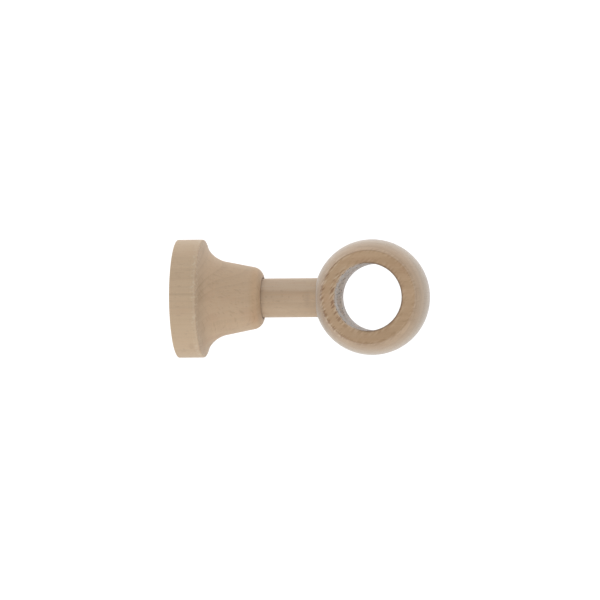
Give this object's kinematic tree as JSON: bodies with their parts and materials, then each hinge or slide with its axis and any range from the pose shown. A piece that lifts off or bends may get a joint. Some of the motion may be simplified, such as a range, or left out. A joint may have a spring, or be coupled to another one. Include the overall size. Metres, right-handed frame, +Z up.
{
  "type": "curtain pole bracket",
  "caption": "Turned wooden wall bracket whose closed ring carries a curtain pole and whose back hides a keyhole hanging plate.",
  "frame": {"origin": "middle of the base's back face, which rests on the wall, in line with the seat of the keyhole slot", "axes": "+X out of the wall along the stem, Y along the curtain pole, +Z up"},
  "size_m": [0.114, 0.0532, 0.0533],
  "materials": {
    "beech": "bare, sanded smooth, matt",
    "beech_dowel": "bare, sanded smooth, matt",
    "zinc_steel": "bright zinc plated",
    "yellow_zinc_steel": "yellow zinc plated"
  },
  "bodies": {
    "root": {"wall_base": "beech", "stem": "beech_dowel", "ring": "beech", "stem_screw": "yellow_zinc_steel", "hanging_plate": "zinc_steel", "plate_screw_upper": "zinc_steel", "plate_screw_lower": "zinc_steel"}
  },
  "joints": []
}
